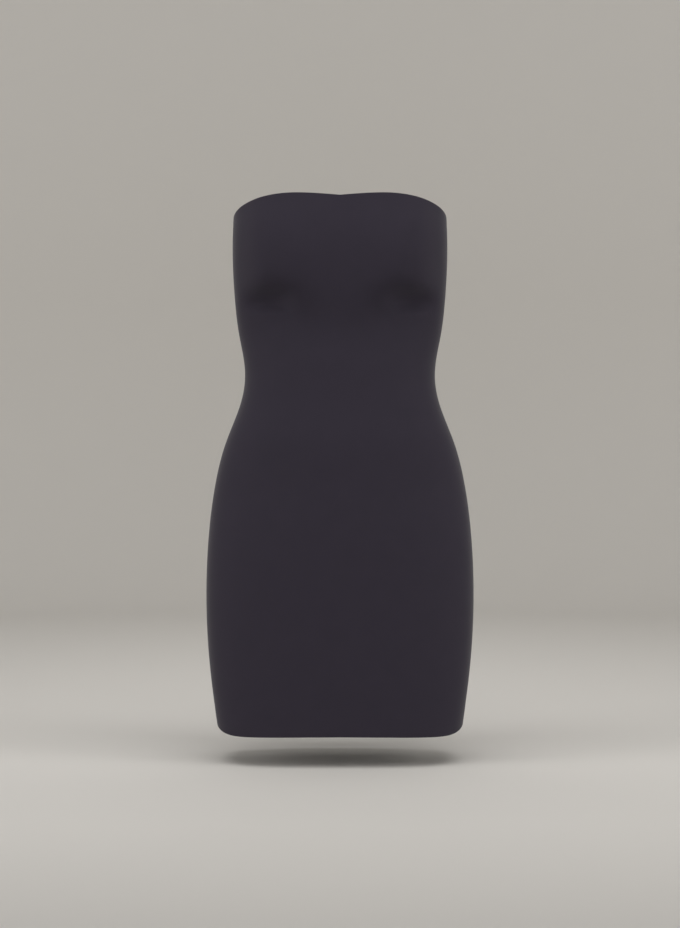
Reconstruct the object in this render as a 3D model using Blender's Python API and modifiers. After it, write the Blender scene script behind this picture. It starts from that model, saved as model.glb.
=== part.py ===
"""A strapless dress in double-layer stretch jersey, hollow and filled out as it is when worn.

Two panels, front and back, meet at the side seams. The origin is the centre of the neckline ring at
underarm level, +Z is up, the front faces -Y and the side seams lie in the plane Y = 0.
"""
from collections import namedtuple
import math

import bmesh
import bpy
import numpy as np

# The cloth: an outer and an inner layer, turned in at the neckline and the hem, drawn as one wall
CLOTH_THICKNESS = 0.0016
EDGE_ROUND = 0.0004
SEAM_GAP = 0.0003

# Level sections of the outer face. Widths run from the middle to a side seam, depths from the side seams
# to the centre front or back. A square of 2 is an ellipse, and more than 2 has flatter sides.
Section = namedtuple("Section", "height half_width front_depth back_depth front_square back_square")
SECTIONS = (
    Section(0.030, 0.1368, 0.0949, 0.0900, 2.47, 2.35),
    Section(0.000, 0.1390, 0.1003, 0.0945, 2.62, 2.35),
    Section(-0.052, 0.1401, 0.1030, 0.0985, 2.70, 2.35),
    Section(-0.104, 0.1376, 0.0978, 0.0960, 2.33, 2.30),
    Section(-0.150, 0.1323, 0.0926, 0.0900, 2.05, 2.25),
    Section(-0.200, 0.1243, 0.0950, 0.0850, 2.30, 2.20),
    Section(-0.240, 0.1296, 0.0975, 0.0895, 2.42, 2.20),
    Section(-0.290, 0.1484, 0.1028, 0.1030, 2.40, 2.25),
    Section(-0.345, 0.1628, 0.1042, 0.1180, 2.28, 2.30),
    Section(-0.410, 0.1713, 0.1052, 0.1235, 2.40, 2.35),
    Section(-0.495, 0.1746, 0.1034, 0.1170, 2.52, 2.45),
    Section(-0.580, 0.1702, 0.1003, 0.1030, 2.65, 2.60),
    Section(-0.664, 0.1592, 0.0956, 0.0950, 2.95, 2.85),
)

# The two cups are one soft shelf across the front: highest at the two points, lower between them, where
# the stretched cloth spans from one to the other, and gone at the side seams
CUP_RISE = 0.0145
CUP_ACROSS = 0.0916
CUP_END = 0.1380
CUP_BETWEEN = 0.333
CUP_LEVEL = -0.074
CUP_FOOT = -0.122
CUP_FOOT_BETWEEN = -0.180
CUP_TOP = 0.030
CUP_AT_TOP = 0.65

# Soft troughs in the front: the crease under each cup, the hollow round it, and the top corner, which
# rolls back. Each has its depth, its middle, its reach along and up, and the slope of its line.
Trough = namedtuple("Trough", "depth across level half_length half_height tilt")
TROUGHS = (
    Trough(0.0115, 0.0915, -0.1115, 0.042, 0.0200, 0.02),
    Trough(0.0030, 0.0800, -0.1270, 0.055, 0.034, 0.0),
    Trough(0.0054, 0.1108, 0.0322, 0.052, 0.057, -0.17),
)
# The share of a quarter of the ring, beside the side seam, over which the troughs fade out
TROUGH_FADE = 0.15

# The cut edges. way_round is the share of a quarter of the ring: 0 centre front, 1 side seam, 2 centre back.
EdgePoint = namedtuple("EdgePoint", "way_round height")
NECKLINE = (
    EdgePoint(0.00, 0.0190),
    EdgePoint(0.15, 0.0212),
    EdgePoint(0.30, 0.0221),
    EdgePoint(0.45, 0.0209),
    EdgePoint(0.60, 0.0166),
    EdgePoint(0.75, 0.0095),
    EdgePoint(0.90, 0.0022),
    EdgePoint(1.00, 0.0003),
    EdgePoint(1.30, -0.0005),
    EdgePoint(2.00, -0.0040),
)
HEM = (
    EdgePoint(0.00, -0.6648),
    EdgePoint(0.30, -0.6655),
    EdgePoint(0.55, -0.6668),
    EdgePoint(0.70, -0.6660),
    EdgePoint(0.85, -0.6603),
    EdgePoint(1.00, -0.6560),
    EdgePoint(1.30, -0.6600),
    EdgePoint(2.00, -0.6640),
)

# Rows of faces, between heights at the side seam, closer together over the cups
RowBand = namedtuple("RowBand", "top bottom rows")
ROW_BANDS = (
    RowBand(0.000, -0.080, 8),
    RowBand(-0.080, -0.150, 14),
    RowBand(-0.150, -0.657, 22),
)
COLUMNS_IN_HALF_PANEL = 16
SEAM_COLUMN = 0.012
NECKLINE_REACH = 0.070
HEM_REACH = 0.080

JERSEY_COLOUR = (0.030, 0.027, 0.034, 1.0)
JERSEY_ROUGHNESS = 0.85


def curve_through(places, values):
    """A smooth curve through the points, straight at both ends, as a function of the place."""
    order = np.argsort(places)
    places = np.asarray(places, float)[order]
    values = np.asarray(values, float)[order]
    step = np.diff(places)
    slope = np.diff(values) / step
    count = len(places)
    system = np.eye(count)
    bend = np.zeros(count)
    for i in range(1, count - 1):
        system[i, i - 1:i + 2] = (step[i - 1], 2 * (step[i - 1] + step[i]), step[i])
        bend[i] = 6 * (slope[i] - slope[i - 1])
    second = np.linalg.solve(system, bend)

    def value_at(place):
        i = np.clip(np.searchsorted(places, place) - 1, 0, count - 2)
        before = place - places[i]
        after = places[i + 1] - place
        return (
            (second[i] * after ** 3 + second[i + 1] * before ** 3) / (6 * step[i])
            + (values[i] / step[i] - second[i] * step[i] / 6) * after
            + (values[i + 1] / step[i] - second[i + 1] * step[i] / 6) * before
        )

    return value_at


def ease(share):
    """0 to 1 along a soft step, level and straight at both ends."""
    share = min(max(share, 0.0), 1.0)
    return share ** 3 * (10 - 15 * share + 6 * share ** 2)


SECTION_AT = {
    field: curve_through([row.height for row in SECTIONS], [getattr(row, field) for row in SECTIONS])
    for field in Section._fields[1:]
}
NECKLINE_AT = curve_through([p.way_round for p in NECKLINE], [p.height for p in NECKLINE])
HEM_AT = curve_through([p.way_round for p in HEM], [p.height for p in HEM])


def hump(distance, reach):
    """1 in the middle, soft to 0 at the reach."""
    share = min(abs(distance) / reach, 1.0)
    return (1 - share ** 2) ** 2


def cup_rise(across, height):
    """How far the cups stand in front of the section, at a place across the front."""
    from_middle = ease(across / CUP_ACROSS)
    if across < CUP_ACROSS:
        sideways = CUP_BETWEEN + (1 - CUP_BETWEEN) * from_middle
    else:
        sideways = ease((CUP_END - across) / (CUP_END - CUP_ACROSS))
    foot = CUP_FOOT_BETWEEN + (CUP_FOOT - CUP_FOOT_BETWEEN) * from_middle
    if height < CUP_LEVEL:
        upright = ease((height - foot) / (CUP_LEVEL - foot))
    else:
        upright = 1 - (1 - CUP_AT_TOP) * ease((height - CUP_LEVEL) / (CUP_TOP - CUP_LEVEL))
    return CUP_RISE * sideways * upright


def trough_depth(across, height):
    """How far the troughs go in, at a place across the front."""
    total = 0.0
    for trough in TROUGHS:
        along = across - trough.across
        upwards = height - trough.level - trough.tilt * along
        total += trough.depth * hump(along, trough.half_length) * hump(upwards, trough.half_height)
    return total


def quarter_point(half_width, depth, square, share):
    """A point of a section's quarter, at a share of its length from the middle to the side seam."""
    angle = np.linspace(0.0, math.pi / 2, 400)
    across = half_width * np.sin(angle) ** (2 / square)
    out = depth * np.cos(angle) ** (2 / square)
    length = np.concatenate(([0.0], np.cumsum(np.hypot(np.diff(across), np.diff(out)))))
    place = share * length[-1]
    return np.interp(place, length, across), np.interp(place, length, out)


def row_heights():
    """Heights of the mesh rows at the side seam, from the neckline down."""
    heights = [ROW_BANDS[0].top]
    for band in ROW_BANDS:
        heights += list(np.linspace(band.top, band.bottom, band.rows + 1)[1:])
    return heights


def column_shares():
    """Shares of a section's quarter at the mesh columns, with a narrow last column beside the seam."""
    shares = list(np.linspace(0.0, 1.0 - SEAM_COLUMN, COLUMNS_IN_HALF_PANEL))
    return shares + [1.0]


def cloth_point(share, row_height, is_front):
    """A point of the outer face, from its place along the section and the height of its row."""
    way_round = share if is_front else 2.0 - share
    top, bottom = ROW_BANDS[0].top, ROW_BANDS[-1].bottom
    near_top = ease(1 - (top - row_height) / NECKLINE_REACH)
    near_bottom = ease(1 - (row_height - bottom) / HEM_REACH)
    height = row_height
    height += (NECKLINE_AT(way_round) - top) * near_top
    height += (HEM_AT(way_round) - bottom) * near_bottom
    side = "front" if is_front else "back"
    across, out = quarter_point(
        SECTION_AT["half_width"](height),
        SECTION_AT[side + "_depth"](height),
        SECTION_AT[side + "_square"](height),
        share,
    )
    if is_front:
        out += cup_rise(across, height)
        out -= trough_depth(across, height) * ease((1 - share) / TROUGH_FADE)
    out += SEAM_GAP / 2
    return across, (-out if is_front else out), height


def half_panel_mesh(name, is_front):
    """The right half of a panel's outer face, from the centre line to the side seam, facing outwards."""
    shares = column_shares()
    heights = row_heights()
    bm = bmesh.new()
    bmesh.ops.create_grid(bm, x_segments=len(shares) - 1, y_segments=len(heights) - 1, size=1.0)
    for vert in bm.verts:
        column = round((vert.co.x + 1) / 2 * (len(shares) - 1))
        row = round((1 - vert.co.y) / 2 * (len(heights) - 1))
        vert.co = cloth_point(shares[column], heights[row], is_front)
    if not is_front:
        bmesh.ops.reverse_faces(bm, faces=bm.faces)
    mesh = bpy.data.meshes.new(name)
    bm.to_mesh(mesh)
    bm.free()
    mesh.shade_smooth()
    return mesh


def jersey_material(name):
    material = bpy.data.materials.new(name)
    material.use_nodes = True
    shader = material.node_tree.nodes["Principled BSDF"]
    shader.inputs["Base Color"].default_value = JERSEY_COLOUR
    shader.inputs["Roughness"].default_value = JERSEY_ROUGHNESS
    shader.inputs["Metallic"].default_value = 0.0
    return material


def make_panel(name, is_front, collection):
    """One panel: half a face mirrored at the centre line, thickened inwards, with rounded edges."""
    panel = bpy.data.objects.new(name, half_panel_mesh(name, is_front))
    collection.objects.link(panel)
    panel.data.materials.append(jersey_material(name + "_jersey"))

    mirror = panel.modifiers.new("other_half", "MIRROR")
    mirror.use_axis = (True, False, False)
    mirror.use_clip = True
    mirror.merge_threshold = 0.0001

    wall = panel.modifiers.new("cloth", "SOLIDIFY")
    wall.thickness = CLOTH_THICKNESS
    wall.offset = -1.0
    wall.use_even_offset = True
    wall.use_rim = True

    edges = panel.modifiers.new("turned_edges", "BEVEL")
    edges.width = EDGE_ROUND
    edges.segments = 1
    edges.limit_method = "ANGLE"
    edges.angle_limit = math.radians(50)
    return panel


for old in list(bpy.data.objects):
    bpy.data.objects.remove(old, do_unlink=True)

dress = bpy.data.collections.new("strapless_dress")
bpy.context.scene.collection.children.link(dress)
make_panel("dress_front", True, dress)
make_panel("dress_back", False, dress)
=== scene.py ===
import math
from collections import namedtuple

import bmesh
import bpy
import numpy as np
from mathutils import Matrix, Vector


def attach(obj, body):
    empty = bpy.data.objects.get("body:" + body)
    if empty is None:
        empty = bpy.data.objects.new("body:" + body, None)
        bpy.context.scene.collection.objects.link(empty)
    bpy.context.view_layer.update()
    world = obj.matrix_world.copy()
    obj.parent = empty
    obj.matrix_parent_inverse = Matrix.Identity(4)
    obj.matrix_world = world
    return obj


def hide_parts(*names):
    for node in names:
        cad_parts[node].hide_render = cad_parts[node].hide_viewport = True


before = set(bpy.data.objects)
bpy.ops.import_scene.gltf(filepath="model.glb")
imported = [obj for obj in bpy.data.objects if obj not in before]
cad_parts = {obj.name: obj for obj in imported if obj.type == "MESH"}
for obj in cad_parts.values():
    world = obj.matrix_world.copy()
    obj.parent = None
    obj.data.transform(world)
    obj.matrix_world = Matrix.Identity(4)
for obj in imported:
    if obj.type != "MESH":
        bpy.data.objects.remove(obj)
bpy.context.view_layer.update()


# ---------------------------------------------------------------------------------------------------
# The camera. It stands level with the middle of the dress, 2.5 m in front of it, and sees the whole
# garment from straight ahead, as in the photograph.
# ---------------------------------------------------------------------------------------------------
EYE = Vector((0.0, -2.5, -0.320))
LENS_MM = 74.0
FILM_MM = 36.0

camera_data = bpy.data.cameras.new("camera")
camera_data.lens = LENS_MM
camera_data.sensor_width = FILM_MM
camera = bpy.data.objects.new("camera", camera_data)
camera.location = EYE
camera.rotation_euler = (math.radians(90), 0.0, 0.0)
bpy.context.scene.collection.objects.link(camera)
bpy.context.scene.camera = camera
bpy.context.scene.view_settings.view_transform = "Standard"


# ---------------------------------------------------------------------------------------------------
# The room. One pale plain floor that bends up into a pale wall all round, and large soft lights: high,
# low and above in front, one at each side that brightens the dress's flanks, one behind it, and one
# for the wall.
# ---------------------------------------------------------------------------------------------------
FLOOR_LEVEL = -0.705
FLOOR_RADIUS = 3.4
FLOOR_BEND = 0.9
FLOOR_BEND_STEPS = 24
FLOOR_TURN_STEPS = 96
WALL_TOP = 2.5
FLOOR_COLOUR = (0.72, 0.695, 0.655, 1.0)
FLOOR_ROUGHNESS = 0.9
WELD = 0.00001

bm = bmesh.new()
flat_radius = FLOOR_RADIUS - FLOOR_BEND
profile = [(0.0, FLOOR_LEVEL), (flat_radius, FLOOR_LEVEL)]
for step in range(1, FLOOR_BEND_STEPS + 1):
    angle = math.radians(90) * step / FLOOR_BEND_STEPS
    rise = FLOOR_BEND * (1 - math.cos(angle))
    profile.append((flat_radius + FLOOR_BEND * math.sin(angle), FLOOR_LEVEL + rise))
profile.append((FLOOR_RADIUS, WALL_TOP))
points = [bm.verts.new((x, 0.0, z)) for x, z in profile]
edges = [bm.edges.new(pair) for pair in zip(points, points[1:])]
bmesh.ops.spin(bm, geom=points + edges, cent=(0, 0, 0), axis=(0, 0, 1), angle=math.radians(360),
               steps=FLOOR_TURN_STEPS, use_merge=True)
bmesh.ops.remove_doubles(bm, verts=bm.verts, dist=WELD)
bmesh.ops.recalc_face_normals(bm, faces=bm.faces)
if bm.faces[0].normal.z < 0:
    bmesh.ops.reverse_faces(bm, faces=bm.faces)
floor_mesh = bpy.data.meshes.new("floor")
bm.to_mesh(floor_mesh)
bm.free()
floor_mesh.shade_smooth()

floor_paint = bpy.data.materials.new("floor_paint")
floor_paint.use_nodes = True
floor_shader = floor_paint.node_tree.nodes["Principled BSDF"]
floor_shader.inputs["Base Color"].default_value = FLOOR_COLOUR
floor_shader.inputs["Roughness"].default_value = FLOOR_ROUGHNESS
floor_mesh.materials.append(floor_paint)
floor = bpy.data.objects.new("floor", floor_mesh)
bpy.context.scene.collection.objects.link(floor)

DRESS_MIDDLE = (0.0, 0.0, -0.320)
BACK_WALL = (0.0, 3.4, 0.3)
Light = namedtuple("Light", "name place aim width height spread watts")
LIGHTS = (
    Light("light_front_high", (0.0, -2.0, 1.4), DRESS_MIDDLE, 3.6, 1.2, 90.0, 2.0),
    Light("light_front_low", (0.0, -2.9, 0.05), DRESS_MIDDLE, 3.4, 0.9, 80.0, 1.0),
    Light("light_left", (-2.1, -1.0, 0.1), DRESS_MIDDLE, 1.0, 1.8, 80.0, 5.2),
    Light("light_right", (2.1, -1.0, 0.1), DRESS_MIDDLE, 1.0, 1.8, 80.0, 5.2),
    Light("light_above", (0.0, -0.8, 1.4), DRESS_MIDDLE, 2.4, 1.4, 150.0, 16.5),
    Light("light_back", (0.0, 2.7, 1.3), DRESS_MIDDLE, 4.0, 1.0, 80.0, 2.0),
    Light("light_wall", (0.0, 0.9, 2.2), BACK_WALL, 4.0, 1.0, 180.0, 38.0),
)
for row in LIGHTS:
    lamp = bpy.data.lights.new(row.name, "AREA")
    lamp.shape = "RECTANGLE"
    lamp.size = row.width
    lamp.size_y = row.height
    lamp.spread = math.radians(row.spread)
    lamp.energy = row.watts
    light = bpy.data.objects.new(row.name, lamp)
    light.location = row.place
    light.rotation_euler = (Vector(row.aim) - light.location).to_track_quat("-Z", "Y").to_euler()
    light.visible_camera = False
    bpy.context.scene.collection.objects.link(light)

world = bpy.data.worlds.new("room")
bpy.context.scene.world = world
world.use_nodes = True
world.node_tree.nodes["Background"].inputs["Strength"].default_value = 0.0


# ---------------------------------------------------------------------------------------------------
# The front panel. One piece of fine stretch jersey, cut with shaped sides and self-lined: two layers
# lie flat on each other and turn in at the neckline and the hem. The cups have no seam of their own,
# as the stretched cloth spans them in one soft shelf.
# ---------------------------------------------------------------------------------------------------
WALL = 0.0015
SEAM_GAP = 0.0003
FOLD_ROUND = 0.00068
FOLD_SEGMENTS = 4
FOLD_ANGLE = 50.0

Section = namedtuple("Section", "height half_width front_depth back_depth front_square back_square")
SECTIONS = (
    Section(0.030, 0.1368, 0.0949, 0.0900, 2.47, 2.35),
    Section(0.000, 0.1390, 0.1003, 0.0945, 2.62, 2.35),
    Section(-0.052, 0.1401, 0.1030, 0.0985, 2.70, 2.35),
    Section(-0.104, 0.1376, 0.0978, 0.0960, 2.33, 2.30),
    Section(-0.150, 0.1323, 0.0926, 0.0900, 2.05, 2.25),
    Section(-0.200, 0.1243, 0.0950, 0.0850, 2.30, 2.20),
    Section(-0.240, 0.1296, 0.0975, 0.0895, 2.42, 2.20),
    Section(-0.290, 0.1484, 0.1028, 0.1030, 2.40, 2.25),
    Section(-0.345, 0.1628, 0.1042, 0.1180, 2.28, 2.30),
    Section(-0.410, 0.1713, 0.1052, 0.1235, 2.40, 2.35),
    Section(-0.495, 0.1746, 0.1034, 0.1170, 2.52, 2.45),
    Section(-0.580, 0.1702, 0.1003, 0.1030, 2.65, 2.60),
    Section(-0.664, 0.1592, 0.0956, 0.0950, 2.95, 2.85),
)

EdgePoint = namedtuple("EdgePoint", "way_round height")
NECKLINE = (
    EdgePoint(0.00, 0.0190), EdgePoint(0.15, 0.0212), EdgePoint(0.30, 0.0221), EdgePoint(0.45, 0.0209),
    EdgePoint(0.60, 0.0166), EdgePoint(0.75, 0.0095), EdgePoint(0.90, 0.0022), EdgePoint(1.00, 0.0003),
    EdgePoint(1.30, -0.0005), EdgePoint(2.00, -0.0040),
)
HEM = (
    EdgePoint(0.00, -0.6648), EdgePoint(0.30, -0.6655), EdgePoint(0.55, -0.6668), EdgePoint(0.70, -0.6660),
    EdgePoint(0.85, -0.6603), EdgePoint(1.00, -0.6560), EdgePoint(1.30, -0.6600), EdgePoint(2.00, -0.6640),
)
TOP_AT_SEAM = 0.0
BOTTOM_AT_SEAM = -0.657
NECKLINE_REACH = 0.070
HEM_REACH = 0.080

CUP_RISE = 0.0145
CUP_ACROSS = 0.0916
CUP_END = 0.138
CUP_BETWEEN = 0.333
CUP_LEVEL = -0.074
CUP_FOOT = -0.122
CUP_FOOT_BETWEEN = -0.180
CUP_TOP = 0.030
CUP_AT_TOP = 0.65

# Soft troughs: the crease under each cup, the hollow round it, and the top corner, which rolls back
Fold = namedtuple("Fold", "depth across level half_length half_height tilt")
FRONT_FOLDS = (
    Fold(0.0115, 0.0915, -0.1115, 0.042, 0.0200, 0.02),
    Fold(0.0115, -0.0915, -0.1115, 0.042, 0.0200, -0.02),
    Fold(0.0030, 0.0800, -0.1270, 0.055, 0.034, 0.0),
    Fold(0.0030, -0.0800, -0.1270, 0.055, 0.034, 0.0),
    Fold(0.0054, 0.1108, 0.0322, 0.052, 0.057, -0.17),
    Fold(0.0054, -0.1108, 0.0322, 0.052, 0.057, 0.17),
)
# The share of a quarter of the ring, beside a side seam, over which the folds fade out
FOLD_FADE = 0.15

# The welt over the elastic, and the faint step where the hem's turning ends inside
WELT_DEEP = 0.007
WELT_STEP = 0.0015
WELT_PROUD = 0.00022
HEM_TURNING = 0.020
HEM_STEP = 0.004
HEM_PROUD = 0.00012
# How late along a row the welt and the turning stand out sideways instead of forwards
PROUD_TURN = 4

ROWS = 190
HALF_COLUMNS = 66
CURVE_STEPS = 400


def curve_through(places, values):
    """A smooth curve through the points, straight at both ends, as a function of the place."""
    order = np.argsort(places)
    places = np.asarray(places, float)[order]
    values = np.asarray(values, float)[order]
    step = np.diff(places)
    slope = np.diff(values) / step
    count = len(places)
    system = np.eye(count)
    bend = np.zeros(count)
    for i in range(1, count - 1):
        system[i, i - 1:i + 2] = (step[i - 1], 2 * (step[i - 1] + step[i]), step[i])
        bend[i] = 6 * (slope[i] - slope[i - 1])
    second = np.linalg.solve(system, bend)

    def value_at(place):
        i = np.clip(np.searchsorted(places, place) - 1, 0, count - 2)
        before = place - places[i]
        after = places[i + 1] - place
        return (
            (second[i] * after ** 3 + second[i + 1] * before ** 3) / (6 * step[i])
            + (values[i] / step[i] - second[i] * step[i] / 6) * after
            + (values[i + 1] / step[i] - second[i + 1] * step[i] / 6) * before
        )

    return value_at


def ease(share):
    """0 to 1 along a soft step, level and straight at both ends."""
    share = np.clip(share, 0.0, 1.0)
    return share ** 3 * (10 - 15 * share + 6 * share ** 2)


def hump(distance, reach):
    """1 in the middle, soft to 0 at the reach."""
    share = np.minimum(np.abs(distance) / reach, 1.0)
    return (1 - share ** 2) ** 2


SECTION_AT = {
    field: curve_through([row.height for row in SECTIONS], [getattr(row, field) for row in SECTIONS])
    for field in Section._fields[1:]
}
NECKLINE_AT = curve_through([p.way_round for p in NECKLINE], [p.height for p in NECKLINE])
HEM_AT = curve_through([p.way_round for p in HEM], [p.height for p in HEM])


def cup_rise(across, height):
    """How far the cups stand in front of the section, at places across the front."""
    across = np.abs(across)
    from_middle = ease(across / CUP_ACROSS)
    inside = CUP_BETWEEN + (1 - CUP_BETWEEN) * from_middle
    outside = ease((CUP_END - across) / (CUP_END - CUP_ACROSS))
    sideways = np.where(across < CUP_ACROSS, inside, outside)
    foot = CUP_FOOT_BETWEEN + (CUP_FOOT - CUP_FOOT_BETWEEN) * from_middle
    below = ease((height - foot) / (CUP_LEVEL - foot))
    above = 1 - (1 - CUP_AT_TOP) * ease((height - CUP_LEVEL) / (CUP_TOP - CUP_LEVEL))
    return CUP_RISE * sideways * np.where(height < CUP_LEVEL, below, above)


def fold_depth(folds, across, height):
    """How far the folds draw the cloth in: a trough is above 0 and a ridge below."""
    total = np.zeros_like(across)
    for fold in folds:
        along = across - fold.across
        level = fold.level + fold.tilt * along
        total += fold.depth * hump(along, fold.half_length) * hump(height - level, fold.half_height)
    return total


def edge_build(below_neckline, above_hem):
    """How far the cloth stands proud over the elastic and over the hem's turning."""
    welt = WELT_PROUD * (1 - ease((below_neckline - WELT_DEEP) / WELT_STEP))
    turning = HEM_PROUD * (1 - ease((above_hem - HEM_TURNING) / HEM_STEP))
    return welt + turning


def cloth_row(sideways, row_share, is_front, folds):
    """The outer face along one row: its places, and each one's distance on the cloth from the centre line.
    Sideways runs from -1 at the left seam to 1 at the right one, row_share from neckline to hem."""
    share = np.abs(sideways)
    way_round = share if is_front else 2.0 - share
    row_height = TOP_AT_SEAM + (BOTTOM_AT_SEAM - TOP_AT_SEAM) * row_share
    neckline = NECKLINE_AT(way_round)
    hem = HEM_AT(way_round)
    near_top = ease(1 - (TOP_AT_SEAM - row_height) / NECKLINE_REACH)
    near_bottom = ease(1 - (row_height - BOTTOM_AT_SEAM) / HEM_REACH)
    height = row_height + (neckline - TOP_AT_SEAM) * near_top + (hem - BOTTOM_AT_SEAM) * near_bottom

    side = "front" if is_front else "back"
    power = 2 / SECTION_AT[side + "_square"](height)[:, None]
    angle = np.linspace(0.0, math.pi / 2, CURVE_STEPS)[None, :]
    curve_across = SECTION_AT["half_width"](height)[:, None] * np.sin(angle) ** power
    curve_out = SECTION_AT[side + "_depth"](height)[:, None] * np.cos(angle) ** power
    length = np.cumsum(np.hypot(np.diff(curve_across), np.diff(curve_out)), axis=1)
    length = np.hstack((np.zeros((len(share), 1)), length))
    distance = share * length[:, -1]
    across = np.array([np.interp(*row) for row in zip(distance, length, curve_across)])
    out = np.array([np.interp(*row) for row in zip(distance, length, curve_out)])

    if is_front:
        out += cup_rise(across, height)
    proud = edge_build(neckline - height, height - hem)
    to_side = share ** PROUD_TURN
    signed = np.sign(sideways)
    across = signed * (across + proud * to_side)
    folded = fold_depth(folds, across, height) * ease((1 - share) / FOLD_FADE)
    out += proud * (1 - to_side) + SEAM_GAP / 2 - folded
    return np.column_stack((across, -out if is_front else out, height)), signed * distance


def make_panel(name, is_front, folds):
    """A panel as a fine grid laid on its form, thickened inwards, with the turned edges rounded."""
    columns = 2 * HALF_COLUMNS
    bm = bmesh.new()
    bmesh.ops.create_grid(bm, x_segments=columns, y_segments=ROWS, size=1.0)
    sideways = np.linspace(-1.0, 1.0, columns + 1)
    rows = [cloth_row(sideways, row / ROWS, is_front, folds) for row in range(ROWS + 1)]
    cloth = bm.loops.layers.uv.new("cloth")
    on_cloth = {}
    for vert in bm.verts:
        column = round((vert.co.x + 1) / 2 * columns)
        places, distances = rows[round((1 - vert.co.y) / 2 * ROWS)]
        vert.co = places[column]
        on_cloth[vert] = (distances[column], places[column][2])
    for face in bm.faces:
        for loop in face.loops:
            loop[cloth].uv = on_cloth[loop.vert]
    if not is_front:
        bmesh.ops.reverse_faces(bm, faces=bm.faces)
    mesh = bpy.data.meshes.new(name)
    bm.to_mesh(mesh)
    bm.free()
    mesh.shade_smooth()
    panel = bpy.data.objects.new(name, mesh)
    bpy.context.scene.collection.objects.link(panel)

    layers = panel.modifiers.new("two_layers", "SOLIDIFY")
    layers.thickness = WALL
    layers.offset = -1.0
    layers.use_even_offset = True
    layers.use_rim = True
    turned = panel.modifiers.new("turned_edges", "BEVEL")
    turned.width = FOLD_ROUND
    turned.segments = FOLD_SEGMENTS
    turned.limit_method = "ANGLE"
    turned.angle_limit = math.radians(FOLD_ANGLE)
    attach(panel, "root")
    return panel


front = make_panel("front_panel", True, FRONT_FOLDS)
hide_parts("dress_front")

# The knit. Upright wales of small V stitches, finer than the eye sees from the camera, and a soft
# unevenness of the yarn.
KNIT_WALE = 0.00062
KNIT_COURSE = 0.00046
WALE_COUNT_START = 1000.0
COURSE_COUNT_START = 5000.0
WALE_RELIEF = 0.6
COURSE_RELIEF = 0.4
YARN_PATCHES = 38.0
YARN_DETAIL = 3.0


def knit_group():
    """The face of fine jersey: the height of its stitches and a slow unevenness, from metres on the cloth."""
    group = bpy.data.node_groups.new("jersey_face", "ShaderNodeTree")
    for label, value in (("Wale Width", KNIT_WALE), ("Course Height", KNIT_COURSE)):
        socket = group.interface.new_socket(label, in_out="INPUT", socket_type="NodeSocketFloat")
        socket.default_value = value
    group.interface.new_socket("Cloth Place", in_out="INPUT", socket_type="NodeSocketVector")
    group.interface.new_socket("Stitch Height", in_out="OUTPUT", socket_type="NodeSocketFloat")
    group.interface.new_socket("Unevenness", in_out="OUTPUT", socket_type="NodeSocketFloat")
    nodes, link = group.nodes, group.links.new
    given = nodes.new("NodeGroupInput")
    made = nodes.new("NodeGroupOutput")

    def maths(kind, first, second=None):
        node = nodes.new("ShaderNodeMath")
        node.operation = kind
        for socket, value in zip(node.inputs, (first, second)):
            if hasattr(value, "is_output"):
                link(value, socket)
            elif value is not None:
                socket.default_value = value
        return node.outputs[0]

    place = nodes.new("ShaderNodeSeparateXYZ")
    link(given.outputs["Cloth Place"], place.inputs[0])
    wale = maths("DIVIDE", place.outputs["X"], given.outputs["Wale Width"])
    within_wale = maths("FRACT", maths("ADD", wale, WALE_COUNT_START))
    off_middle = maths("ABSOLUTE", maths("SUBTRACT", within_wale, 0.5))
    rib = maths("SUBTRACT", 1.0, maths("POWER", maths("MULTIPLY", off_middle, 2.0), 2.0))
    course = maths("DIVIDE", place.outputs["Y"], given.outputs["Course Height"])
    leg = maths("FRACT", maths("ADD", maths("SUBTRACT", course, off_middle), COURSE_COUNT_START))
    leg_round = maths("SINE", maths("MULTIPLY", leg, math.pi))
    height = maths("ADD", maths("MULTIPLY", rib, WALE_RELIEF), maths("MULTIPLY", leg_round, COURSE_RELIEF))
    link(height, made.inputs["Stitch Height"])

    slow = nodes.new("ShaderNodeTexNoise")
    slow.inputs["Scale"].default_value = YARN_PATCHES
    slow.inputs["Detail"].default_value = YARN_DETAIL
    link(given.outputs["Cloth Place"], slow.inputs["Vector"])
    link(slow.outputs["Fac"], made.inputs["Unevenness"])
    return group


JERSEY_FACE = knit_group()
JERSEY_DARK = (0.0262, 0.0215, 0.0330, 1.0)
JERSEY_LIGHT = (0.0300, 0.0248, 0.0378, 1.0)
JERSEY_ROUGHNESS = 0.8
JERSEY_SPECULAR = 0.2
JERSEY_SHEEN = 0.16
JERSEY_SHEEN_ROUGHNESS = 0.35
STITCH_RELIEF = 0.00006
STITCH_STRENGTH = 0.35


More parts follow.
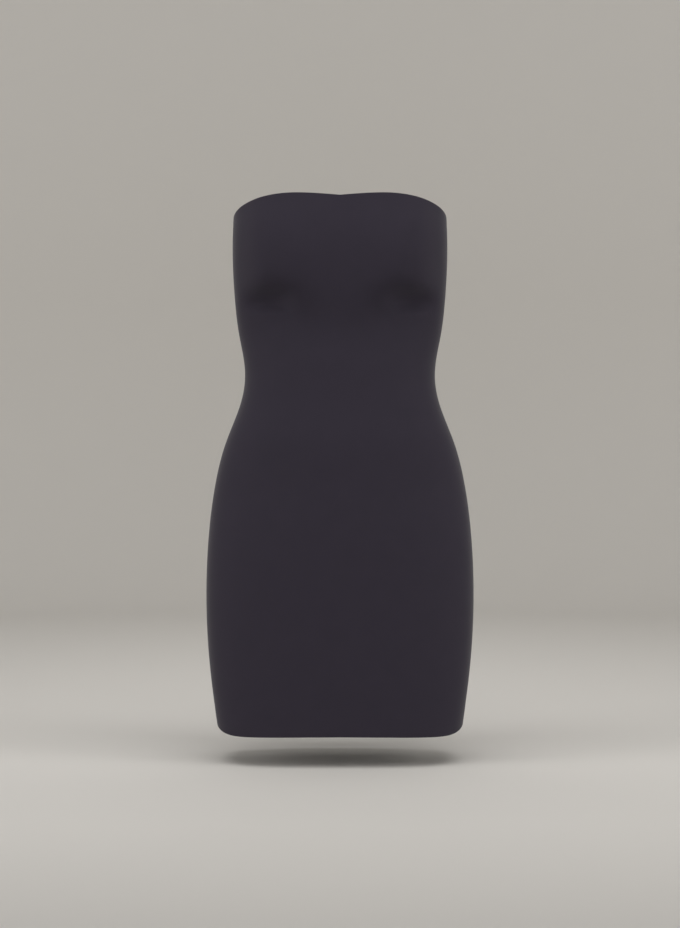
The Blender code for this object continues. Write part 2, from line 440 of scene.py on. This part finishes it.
def jersey_material(name):
    """Matte double jersey, charcoal with a violet cast, with a short nap that lights up edge on."""
    material = bpy.data.materials.new(name)
    material.use_nodes = True
    nodes, link = material.node_tree.nodes, material.node_tree.links.new
    shader = nodes["Principled BSDF"]
    shader.inputs["Roughness"].default_value = JERSEY_ROUGHNESS
    shader.inputs["Specular IOR Level"].default_value = JERSEY_SPECULAR
    shader.inputs["Sheen Weight"].default_value = JERSEY_SHEEN
    shader.inputs["Sheen Roughness"].default_value = JERSEY_SHEEN_ROUGHNESS
    place = nodes.new("ShaderNodeUVMap")
    place.uv_map = "cloth"
    face = nodes.new("ShaderNodeGroup")
    face.node_tree = JERSEY_FACE
    link(place.outputs["UV"], face.inputs["Cloth Place"])
    tone = nodes.new("ShaderNodeMix")
    tone.data_type = "RGBA"
    tone.inputs["A"].default_value = JERSEY_DARK
    tone.inputs["B"].default_value = JERSEY_LIGHT
    link(face.outputs["Unevenness"], tone.inputs["Factor"])
    link(tone.outputs["Result"], shader.inputs["Base Color"])
    relief = nodes.new("ShaderNodeBump")
    relief.inputs["Strength"].default_value = STITCH_STRENGTH
    relief.inputs["Distance"].default_value = STITCH_RELIEF
    link(face.outputs["Stitch Height"], relief.inputs["Height"])
    link(relief.outputs["Normal"], shader.inputs["Normal"])
    return material


front.data.materials.append(jersey_material("front_jersey"))


# ---------------------------------------------------------------------------------------------------
# The back panel. The same jersey in two layers, cut without cups. It hollows a little at the waist,
# where slack cloth lies in a few soft cross folds, and fills out below.
# ---------------------------------------------------------------------------------------------------
BACK_FOLDS = (
    Fold(0.0011, 0.018, -0.176, 0.078, 0.018, 0.10),
    Fold(0.0010, -0.034, -0.206, 0.070, 0.017, -0.12),
    Fold(0.0008, 0.046, -0.236, 0.062, 0.018, 0.08),
    Fold(-0.0006, -0.010, -0.191, 0.066, 0.014, -0.03),
)
back = make_panel("back_panel", False, BACK_FOLDS)
back.data.materials.append(jersey_material("back_jersey"))
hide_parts("dress_back")


# ---------------------------------------------------------------------------------------------------
# The two side seams. The panels are sewn edge to edge. Their seam allowances are pressed together
# between the layers as a thin core, and short bars of matching stretch thread cross over it, sunk
# between the two folded edges, outside and inside.
# ---------------------------------------------------------------------------------------------------
CORE_HALF_WIDTH = 0.00040
CORE_HALF_DEPTH = 0.00026
CORE_SIDES = 8
CORE_ROWS = 160
CORE_SHORT_OF_EDGE = 0.0009
STITCH_PITCH = 0.0030
STITCH_HALF_LENGTH = 0.00062
STITCH_RADIUS = 0.00015
STITCH_SUNK = 0.00045
STITCH_SIDES = 8
STITCH_RINGS = 6
LAST_STITCH_ABOVE_HEM = 1.5 * STITCH_PITCH
THREAD_COLOUR = (0.030, 0.026, 0.037, 1.0)
THREAD_ROUGHNESS = 0.8
THREAD_SPECULAR = 0.2

thread_material = bpy.data.materials.new("seam_thread")
thread_material.use_nodes = True
thread_shader = thread_material.node_tree.nodes["Principled BSDF"]
thread_shader.inputs["Base Color"].default_value = THREAD_COLOUR
thread_shader.inputs["Roughness"].default_value = THREAD_ROUGHNESS
thread_shader.inputs["Specular IOR Level"].default_value = THREAD_SPECULAR


def add_seam_core(bm):
    """The pressed allowances: a grid rolled into a flat tube, as deep in the wall as x is."""
    made = bmesh.ops.create_grid(bm, x_segments=CORE_SIDES, y_segments=CORE_ROWS, size=1.0)
    top = TOP_AT_SEAM - CORE_SHORT_OF_EDGE
    bottom = BOTTOM_AT_SEAM + CORE_SHORT_OF_EDGE
    for vert in made["verts"]:
        angle = math.pi * (vert.co.x + 1)
        height = bottom + (top - bottom) * (vert.co.y + 1) / 2
        depth = WALL / 2 + CORE_HALF_DEPTH * math.cos(angle)
        vert.co = (depth, CORE_HALF_WIDTH * math.sin(angle), height)
    bmesh.ops.remove_doubles(bm, verts=made["verts"], dist=WELD)
    open_ends = [edge for edge in bm.edges if edge.is_boundary]
    bmesh.ops.holes_fill(bm, edges=open_ends, sides=CORE_SIDES)


def make_side_seam(name, side):
    """One seam: each bar is a small rounded bar across the gap, made once and repeated down the seam."""
    bm = bmesh.new()
    for depth in (STITCH_SUNK, WALL - STITCH_SUNK):
        bar = Matrix.Translation((depth, 0.0, TOP_AT_SEAM - STITCH_PITCH))
        bar = bar @ Matrix.Diagonal((STITCH_RADIUS, STITCH_HALF_LENGTH, STITCH_RADIUS, 1.0))
        bmesh.ops.create_uvsphere(
            bm, u_segments=STITCH_SIDES, v_segments=STITCH_RINGS, radius=1.0, matrix=bar
        )
    length = STITCH_PITCH
    while length < TOP_AT_SEAM - BOTTOM_AT_SEAM:
        more = bmesh.ops.duplicate(bm, geom=bm.verts[:] + bm.edges[:] + bm.faces[:])
        copied = [part for part in more["geom"] if isinstance(part, bmesh.types.BMVert)]
        bmesh.ops.translate(bm, verts=copied, vec=(0.0, 0.0, -length))
        length *= 2
    past_hem = [vert for vert in bm.verts if vert.co.z < BOTTOM_AT_SEAM + LAST_STITCH_ABOVE_HEM]
    bmesh.ops.delete(bm, geom=past_hem, context="VERTS")
    add_seam_core(bm)
    for vert in bm.verts:
        vert.co.x = side * (SECTION_AT["half_width"](vert.co.z) - vert.co.x)
    bmesh.ops.recalc_face_normals(bm, faces=bm.faces)
    mesh = bpy.data.meshes.new(name)
    bm.to_mesh(mesh)
    bm.free()
    mesh.shade_smooth()
    seam = bpy.data.objects.new(name, mesh)
    bpy.context.scene.collection.objects.link(seam)
    seam.data.materials.append(thread_material)
    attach(seam, "root")


make_side_seam("side_seam_left", -1)
make_side_seam("side_seam_right", 1)
